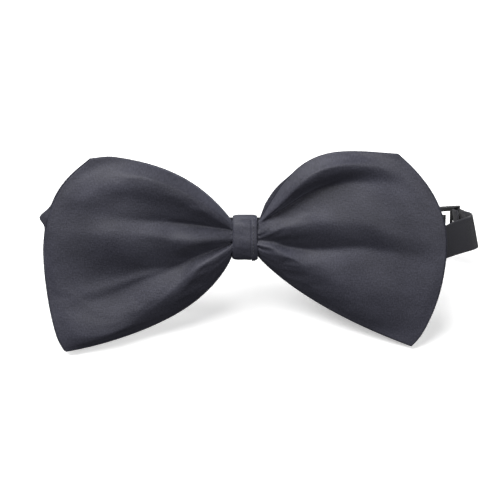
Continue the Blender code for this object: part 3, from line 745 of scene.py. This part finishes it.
def band_mesh(name, plan, level_of, slant_of=None):
    """A woven band on edge along a plan path, with a fuller selvedge at each side."""
    plan = np.asarray(plan, float)
    tangent = np.gradient(plan, axis=0)
    tangent /= np.linalg.norm(tangent, axis=1)[:, None]
    normal = np.stack([-tangent[:, 1], tangent[:, 0]], axis=1)
    run = np.concatenate([[0], np.cumsum(np.linalg.norm(np.diff(plan, axis=0), axis=1))])
    lanes = np.array([-1, -0.985, -0.93, -0.86, -0.7, -0.35, 0, 0.35, 0.7, 0.86, 0.93, 0.985, 1])
    body = STRAP_PLY / 2 * np.array([0, 0.7, 1.0, 0.86, 0.9, 0.95, 1, 0.95, 0.9, 0.86, 1.0, 0.7, 0])
    level = np.array([level_of(point) for point in plan])
    grids = []
    for face in (1, -1):
        grid = np.zeros((len(plan), len(lanes), 3))
        for k, lane in enumerate(lanes):
            shift = slant_of(plan, lane) if slant_of else 0.0
            ripple = 0.05 * np.sin(0.9 * run + 2.0 * lane) * (1 - lane * lane)
            grid[:, k, :2] = plan + normal * (face * body[k] + ripple)[:, None] + shift
            grid[:, k, 2] = level + lane * STRAP_WIDTH / 2
        grids.append(grid)
    weave = np.zeros((len(plan), len(lanes), 3))
    weave[:, :, 0] = run[:, None]
    weave[:, :, 1] = lanes[None, :] * STRAP_WIDTH / 2
    points, faces, cloth = closed_band(grids[0], grids[1], weave)
    return add_mesh(name, points, faces, cloth)


def closed_band(over, under, weave):
    """Two like grids that share their long edges, closed across their two ends."""
    rows, columns = over.shape[:2]
    rings = np.concatenate([over, under[:, -2:0:-1]], axis=1)
    cloth = np.concatenate([weave, weave[:, -2:0:-1]], axis=1)
    around = rings.shape[1]
    faces = []
    for r in range(rows - 1):
        for c in range(around):
            beside = (c + 1) % around
            faces.append((r * around + c, r * around + beside, (r + 1) * around + beside,
                          (r + 1) * around + c))
    faces.append(tuple(range(around))[::-1])
    faces.append(tuple((rows - 1) * around + c for c in range(around)))
    return rings.reshape(-1, 3), faces, cloth.reshape(-1, 3)


def left_band():
    """From the knot's middle round the left fold to the end of the long side."""
    lift = HOOK_LIFT + TURN
    radius = float(LEFT_PIN[1]) - STRAP_FRONT
    centre = np.array([LEFT_PIN[0] + STRAP_PLY / 2 + radius, LEFT_PIN[1]])
    plan = [np.array([x, front_depth(x)]) for x in np.linspace(-0.1, centre[0] + 0.5, 40)]
    plan += arc(centre, radius, 270, 90 - math.degrees(SLANT), 40)
    plan += straight(plan[-1], back_run(LONG_SIDE_END, lift), 30)
    edge_level = back_level(LEFT_PIN)

    def level(point):
        if point[1] > LEFT_PIN[1]:
            return back_level(point)
        return edge_level * float(smooth((abs(point[0]) - 3.6) / 50))

    return band_mesh("neckband_left_webbing", plan, level)


def right_slant(plan, lane):
    """The right fold isn't quite upright: its top lies nearer the wing."""
    near = smooth((plan[:, 0] - 58.0) / 10.0)
    return np.stack([-1.1 * lane * near, np.zeros_like(near)], axis=1)


def right_fold_centre():
    return np.array([RIGHT_PIN[0] - STRAP_PLY / 2 - RIGHT_FOLD_RADIUS, RIGHT_PIN[1]])


def right_fold_end():
    return arc(right_fold_centre(), RIGHT_FOLD_RADIUS, 405, 405, 1)[-1]


def right_band():
    """From the knot's middle round the right fold and the eye's bar."""
    centre = right_fold_centre()
    leave = np.array([RIGHT_LEAVE_X, STRAP_FRONT])
    ahead = centre - leave
    approach = math.degrees(math.atan2(ahead[1], ahead[0])
                            - math.asin(RIGHT_FOLD_RADIUS / np.linalg.norm(ahead)))
    plan = [np.array([x, front_depth(x)]) for x in np.linspace(0.1, RIGHT_LEAVE_X - 1.5, 36)]
    fold = arc(centre, RIGHT_FOLD_RADIUS, 270 + approach, 405, 24)
    plan += straight(leave + (fold[0] - leave) * 0.07, fold[0], 14)[:-1]
    inbound = EYE_BAR - fold[-1]
    inbound /= np.linalg.norm(inbound)
    heading = math.degrees(math.atan2(inbound[1], inbound[0]))
    turn = arc(EYE_BAR, TURN, heading - 90, heading + 90, 12)
    tail = straight(turn[-1], turn[-1] - inbound * 2.4, 4)
    plan += fold + straight(fold[-1], turn[0], 4) + turn[1:] + tail

    pin_level = back_level(RIGHT_PIN)

    def level(point):
        if point[1] > RIGHT_PIN[1]:
            return back_level(point)
        dip = STRAP_DIP * float(smooth((point[0] - 3.6) / 36))
        risen = float(smooth((point[0] - RISE_FROM_X) / (RIGHT_PIN[0] - RISE_FROM_X)))
        return dip + (pin_level - STRAP_DIP) * risen

    return band_mesh("neckband_right_webbing", plan, level, right_slant)


def loop_bands():
    """The running ply to the hook's bar, and the ply from there to the slider's bar."""
    bar = back_run(HOOK_BAR_AT, HOOK_LIFT)
    slant = math.degrees(SLANT)
    turn = arc(bar, TURN, 90 - slant, -90 - slant, 20)
    start = back_run(LONG_SIDE_END, HOOK_LIFT + TURN)
    outer = [start] + straight(start, turn[0], 30) + turn[1:11]
    slider_bar = back_run(SLIDER_AT, SLIDER_BAR_LIFT)
    sewn = arc(slider_bar, TURN, 270 - slant, 90 - slant, 20)
    inner = turn[10:] + straight(turn[-1], sewn[0], 30) + sewn[1:]
    inner += straight(sewn[-1], sewn[-1] + ALONG * SEWN_END, 10)
    return (band_mesh("neckband_running_webbing", outer, back_level),
            band_mesh("neckband_return_webbing", inner, back_level))


# ---- materials -----------------------------------------------------------------------
class Nodes:
    """A thin helper that adds and links shader nodes of one material."""

    def __init__(self, name):
        self.material = bpy.data.materials.new(name)
        self.material.use_nodes = True
        self.tree = self.material.node_tree
        self.shader = self.tree.nodes["Principled BSDF"]

    def add(self, kind, **settings):
        node = self.tree.nodes.new(kind)
        for key, value in settings.items():
            setattr(node, key, value)
        return node

    def link(self, source, target):
        self.tree.links.new(source, target)

    def value(self, operation, first, second):
        node = self.add("ShaderNodeMath", operation=operation)
        for slot, item in zip(node.inputs, (first, second)):
            if isinstance(item, (int, float)):
                slot.default_value = item
            else:
                self.link(item, slot)
        return node.outputs[0]

    def coordinates(self):
        return self.add("ShaderNodeAttribute", attribute_name="weave").outputs["Vector"]

    def scaled(self, vector, scale):
        node = self.add("ShaderNodeMapping")
        node.inputs["Scale"].default_value = scale
        self.link(vector, node.inputs["Vector"])
        return node.outputs["Vector"]

    def noise(self, vector, scale, detail=3.0, roughness=0.55):
        node = self.add("ShaderNodeTexNoise")
        node.inputs["Scale"].default_value = scale
        node.inputs["Detail"].default_value = detail
        node.inputs["Roughness"].default_value = roughness
        self.link(vector, node.inputs["Vector"])
        return node.outputs["Fac"]

    def wave(self, vector, scale, direction="X", distortion=0.0):
        node = self.add("ShaderNodeTexWave", bands_direction=direction)
        node.inputs["Scale"].default_value = scale
        node.inputs["Distortion"].default_value = distortion
        self.link(vector, node.inputs["Vector"])
        return node.outputs["Fac"]

    def ramp(self, value, *stops):
        node = self.add("ShaderNodeValToRGB")
        node.color_ramp.elements[0].position = stops[0][0]
        node.color_ramp.elements[0].color = (*stops[0][1], 1)
        node.color_ramp.elements[1].position = stops[-1][0]
        node.color_ramp.elements[1].color = (*stops[-1][1], 1)
        for position, colour in stops[1:-1]:
            node.color_ramp.elements.new(position).color = (*colour, 1)
        self.link(value, node.inputs["Fac"])
        return node.outputs["Color"]

    def bump(self, height, strength, distance, under=None):
        node = self.add("ShaderNodeBump")
        node.inputs["Strength"].default_value = strength
        node.inputs["Distance"].default_value = distance
        self.link(height, node.inputs["Height"])
        if under is not None:
            self.link(under, node.inputs["Normal"])
        return node.outputs["Normal"]

    def span(self, value, low, high):
        node = self.add("ShaderNodeMapRange")
        node.inputs["To Min"].default_value = low
        node.inputs["To Max"].default_value = high
        self.link(value, node.inputs["Value"])
        return node.outputs["Result"]


def satin_material():
    """Charcoal satin: a fine weft over a soft sheen, a little uneven in shade."""
    made = Nodes("charcoal_satin")
    cloth = made.coordinates()
    shade = made.noise(made.scaled(cloth, (0.05, 0.09, 0.0)), 1.0, 4.0)
    grain = made.noise(made.scaled(cloth, (2.2, 1.5, 0.0)), 1.0, 3.0, 0.65)
    mixed = made.value("ADD", made.value("MULTIPLY", shade, 0.45),
                       made.value("MULTIPLY", grain, 0.55))
    colour = made.ramp(mixed, (0.34, (0.022, 0.022, 0.030)), (0.5, (0.039, 0.039, 0.053)),
                       (0.66, (0.061, 0.061, 0.082)))
    made.link(colour, made.shader.inputs["Base Color"])
    made.link(made.span(grain, 0.50, 0.64), made.shader.inputs["Roughness"])
    weft = made.wave(made.scaled(cloth, (0.35, 1.0, 0.0)), 2.6, "DIAGONAL", 0.6)
    fine = made.bump(weft, 0.22, 0.00005)
    slub = made.bump(made.noise(made.scaled(cloth, (0.7, 2.4, 0.0)), 1.0, 4.0), 0.35, 0.00022, fine)
    made.link(made.bump(grain, 0.28, 0.0001, slub), made.shader.inputs["Normal"])
    shader = made.shader.inputs
    shader["Specular IOR Level"].default_value = 0.30
    shader["Sheen Weight"].default_value = 0.12
    shader["Sheen Roughness"].default_value = 0.45
    shader["Sheen Tint"].default_value = (0.75, 0.78, 1.0, 1)
    shader["Anisotropic"].default_value = 0.35
    return made.material


def webbing_material():
    """Matt narrow band: cross ribs and a plain selvedge."""
    made = Nodes("dark_webbing")
    cloth = made.coordinates()
    ribs = made.wave(cloth, 1.1, "X", 0.15)
    threads = made.wave(cloth, 1.9, "Y", 0.2)
    grain = made.noise(made.scaled(cloth, (3, 3, 1)), 1.0, 3.0, 0.7)
    mixed = made.value("ADD", made.value("MULTIPLY", ribs, 0.4),
                       made.value("MULTIPLY", grain, 0.6))
    made.link(made.ramp(mixed, (0.2, (0.012, 0.012, 0.016)), (0.8, (0.036, 0.036, 0.045))),
              made.shader.inputs["Base Color"])
    made.link(made.span(grain, 0.62, 0.85), made.shader.inputs["Roughness"])
    fine = made.bump(threads, 0.35, 0.00008)
    made.link(made.bump(ribs, 0.55, 0.00016, fine), made.shader.inputs["Normal"])
    made.shader.inputs["Specular IOR Level"].default_value = 0.4
    made.shader.inputs["Sheen Weight"].default_value = 0.15
    return made.material


MOULDED_EDGE = 0.3


def plastic_material():
    """Dark moulded plastic: faint flow marks, and a painted highlight that makes convex edges lighter in
    colour.
    """
    made = Nodes("moulded_plastic")
    place_in = made.add("ShaderNodeTexCoord").outputs["Object"]
    marks = made.noise(place_in, 900.0, 3.0)
    flow = made.noise(place_in, 160.0, 2.0)
    # painted highlight: the base colour is made lighter on convex edges, where light catches the rounded
    # plastic
    painted_highlight_convexity = made.add("ShaderNodeNewGeometry").outputs["Pointiness"]
    edge = made.ramp(painted_highlight_convexity, (0.52, (0.0, 0.0, 0.0)), (0.60, (1.0, 1.0, 1.0)))
    base = made.ramp(flow, (0.3, (0.016, 0.016, 0.017)), (0.7, (0.026, 0.026, 0.027)))
    mix = made.add("ShaderNodeMix", data_type="RGBA")
    made.link(made.value("MULTIPLY", edge, 0.6), mix.inputs["Factor"])
    made.link(base, mix.inputs["A"])
    # the lighter colour of the painted edge highlight
    mix.inputs["B"].default_value = (0.075, 0.075, 0.078, 1)
    made.link(mix.outputs["Result"], made.shader.inputs["Base Color"])
    made.link(made.span(marks, 0.22, 0.38), made.shader.inputs["Roughness"])
    rounded = made.add("ShaderNodeBevel", samples=6)
    rounded.inputs["Radius"].default_value = MOULDED_EDGE * MM
    made.link(made.bump(marks, 0.12, 0.00004, rounded.outputs["Normal"]), made.shader.inputs["Normal"])
    return made.material


def thread_material():
    """Twisted polyester sewing thread."""
    made = Nodes("sewing_thread")
    place_in = made.add("ShaderNodeTexCoord").outputs["Object"]
    twist = made.wave(made.scaled(place_in, (900, 900, 900)), 1.6, "DIAGONAL", 0.5)
    made.link(made.ramp(twist, (0.2, (0.016, 0.016, 0.021)), (0.8, (0.050, 0.050, 0.062))),
              made.shader.inputs["Base Color"])
    made.shader.inputs["Roughness"].default_value = 0.48
    made.link(made.bump(twist, 0.6, 0.00008), made.shader.inputs["Normal"])
    made.shader.inputs["Sheen Weight"].default_value = 0.2
    return made.material


def lining_material():
    """Off-white non-woven interlining: matted fibres."""
    made = Nodes("non_woven_interlining")
    place_in = made.add("ShaderNodeTexCoord").outputs["Object"]
    fibres = made.noise(made.scaled(place_in, (1400, 500, 700)), 1.0, 6.0, 0.8)
    made.link(made.ramp(fibres, (0.3, (0.48, 0.47, 0.44)), (0.75, (0.78, 0.77, 0.74))),
              made.shader.inputs["Base Color"])
    made.shader.inputs["Roughness"].default_value = 0.92
    made.link(made.bump(fibres, 0.6, 0.0001), made.shader.inputs["Normal"])
    return made.material


satin = satin_material()
webbing = webbing_material()
plastic = plastic_material()
thread = thread_material()
lining = lining_material()


def dress(piece, material):
    piece.data.materials.clear()
    piece.data.materials.append(material)


knot = knot_mesh()
for piece, node, material, slot in ((front_bow, "front_bow", satin, "satin"),
                                    (rear_bow, "rear_bow", satin, "satin"),
                                    (front_lining, "front_bow_interlining", lining, "interlining"),
                                    (rear_lining, "rear_bow_interlining", lining, "interlining"),
                                    (knot, "knot_wrap", satin, "satin"),
                                    (waist_turns(), "waist_thread", thread, "thread"),
                                    (whip_stitches(), "knot_stitches", thread, "thread")):
    dress(piece, material)
    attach(piece, "bow")
    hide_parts(node)

seam = seam_stitches(knot)
dress(seam, thread)
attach(seam, "bow")

lap = knot_lap()
dress(lap, satin)
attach(lap, "bow")

left_webbing = left_band()
right_webbing = right_band()
running_webbing, return_webbing = loop_bands()
for piece in (left_webbing, right_webbing, running_webbing, return_webbing):
    dress(piece, webbing)
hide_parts("neckband_front", "neckband_long_side")
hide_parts("neckband_short_side")
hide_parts("neckband_loop")
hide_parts("slider_sewn_end")


def at(plan_point, level=STRAP_LEVEL):
    return place(float(plan_point[0]), float(plan_point[1]), level)


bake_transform(left_webbing)
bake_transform(right_webbing)
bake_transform(running_webbing)
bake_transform(return_webbing)

slider_tack_at = back_run(SLIDER_AT - 7, SLIDER_BAR_LIFT - TURN - STRAP_PLY / 2)
slider_tack = bar_tack("slider_end_tack", slider_tack_at, ALONG, -OUTWARD, back_level(slider_tack_at))
dress(slider_tack, thread)
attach(slider_tack, "slider")
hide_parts("slider_end_stitches")

eye_inbound = EYE_BAR - right_fold_end()
eye_inbound /= np.linalg.norm(eye_inbound)
eye_inward = np.array([-eye_inbound[1], eye_inbound[0]])
eye_tack_at = EYE_BAR + eye_inward * (TURN + STRAP_PLY / 2) - eye_inbound * 1.5
eye_tack = bar_tack("eye_end_tack", eye_tack_at, eye_inbound * 0.6, eye_inward, back_level(eye_tack_at))
dress(eye_tack, thread)
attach(eye_tack, "short_side")
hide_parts("eye_end_stitches")

for node in ("slider", "hook", "eye"):
    dress(frame["nodes"][node], plastic)


# ---- the stage -----------------------------------------------------------------------
CAMERA_ABOVE_NORMAL = math.radians(15.0)
CAMERA_DISTANCE = 0.55
CAMERA_LENS = 133.0
LOOK_RIGHT = 1.49       # the camera looks this far to the right of the knot's centre
LOOK_DOWN = 3.576       # and this far below it
FLOOR_GLOW = 0.4        # keeps the shadows on the floor light
SKY_LOW = 0.021         # light from the sky near the horizon, and from overhead
SKY_HIGH = 0.0475
BACKDROP = 0.85         # how bright the sky looks to the camera, where no floor hides it


def stage():
    bpy.context.view_layer.update()
    low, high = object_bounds()
    floor_mesh = bpy.data.meshes.new("floor")
    size = 3.0
    level = low[2] - 0.0001
    floor_mesh.from_pydata([(-size, -size, level), (size, -size, level), (size, size, level),
                            (-size, size, level)], [], [(0, 1, 2, 3)])
    floor = bpy.data.objects.new("floor", floor_mesh)
    bpy.context.scene.collection.objects.link(floor)
    pale = Nodes("pale_floor")
    pale.shader.inputs["Base Color"].default_value = (0.86, 0.86, 0.86, 1)
    pale.shader.inputs["Roughness"].default_value = 0.6
    pale.shader.inputs["Emission Color"].default_value = (1, 1, 1, 1)
    pale.shader.inputs["Emission Strength"].default_value = FLOOR_GLOW
    floor_mesh.materials.append(pale.material)
    floor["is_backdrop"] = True

    # the floor keeps its shadows but sends no light back up into the folds
    floor.visible_diffuse = False
    floor.visible_glossy = False

    world = bpy.data.worlds.new("studio")
    world.use_nodes = True
    tree = world.node_tree
    heading = tree.nodes.new("ShaderNodeTexCoord")
    parts = tree.nodes.new("ShaderNodeSeparateXYZ")
    span = tree.nodes.new("ShaderNodeMapRange")
    span.inputs["From Min"].default_value = -0.2
    span.inputs["From Max"].default_value = 0.9
    span.inputs["To Min"].default_value = SKY_LOW
    span.inputs["To Max"].default_value = SKY_HIGH
    tree.links.new(heading.outputs["Generated"], parts.inputs["Vector"])
    tree.links.new(parts.outputs["Z"], span.inputs["Value"])
    path = tree.nodes.new("ShaderNodeLightPath")
    seen = tree.nodes.new("ShaderNodeMath")
    seen.operation = "MULTIPLY_ADD"
    seen.inputs[1].default_value = BACKDROP
    tree.links.new(path.outputs["Is Camera Ray"], seen.inputs[0])
    tree.links.new(span.outputs["Result"], seen.inputs[2])
    background = tree.nodes["Background"]
    background.inputs["Color"].default_value = (1, 1, 1, 1)
    tree.links.new(seen.outputs[0], background.inputs["Strength"])
    bpy.context.scene.world = world
    bpy.context.scene.view_settings.view_transform = "Standard"

    def soft_light(name, at, size_m, power):
        data = bpy.data.lights.new(name, "AREA")
        data.shape = "DISK"
        data.size = size_m
        data.energy = power
        lamp = bpy.data.objects.new(name, data)
        lamp.location = at
        lamp.rotation_euler = (Vector((0, 0, 0)) - Vector(at)).to_track_quat("-Z", "Y").to_euler()
        bpy.context.scene.collection.objects.link(lamp)

    soft_light("key", (-0.45, -0.10, 1.2), 1.1, 26.0)
    soft_light("fill", (0.50, -0.75, 0.70), 0.7, 6.0)
    soft_light("back", (-0.30, 0.95, 0.30), 0.8, 3.0)

    target = place(0, 0, 0)
    rise = LEAN + CAMERA_ABOVE_NORMAL
    camera_data = bpy.data.cameras.new("camera")
    camera_data.lens = CAMERA_LENS
    camera_data.clip_start = 0.01
    camera = bpy.data.objects.new("camera", camera_data)
    offset = Vector((0, -math.cos(rise), math.sin(rise))) * CAMERA_DISTANCE
    shift = (Vector((LOOK_RIGHT, 0, 0)) - Vector((0, math.sin(rise), math.cos(rise))) * LOOK_DOWN) * MM
    camera.location = target + offset + shift
    camera.rotation_euler = (-offset).to_track_quat("-Z", "Y").to_euler()
    bpy.context.scene.collection.objects.link(camera)
    bpy.context.scene.camera = camera


stage()
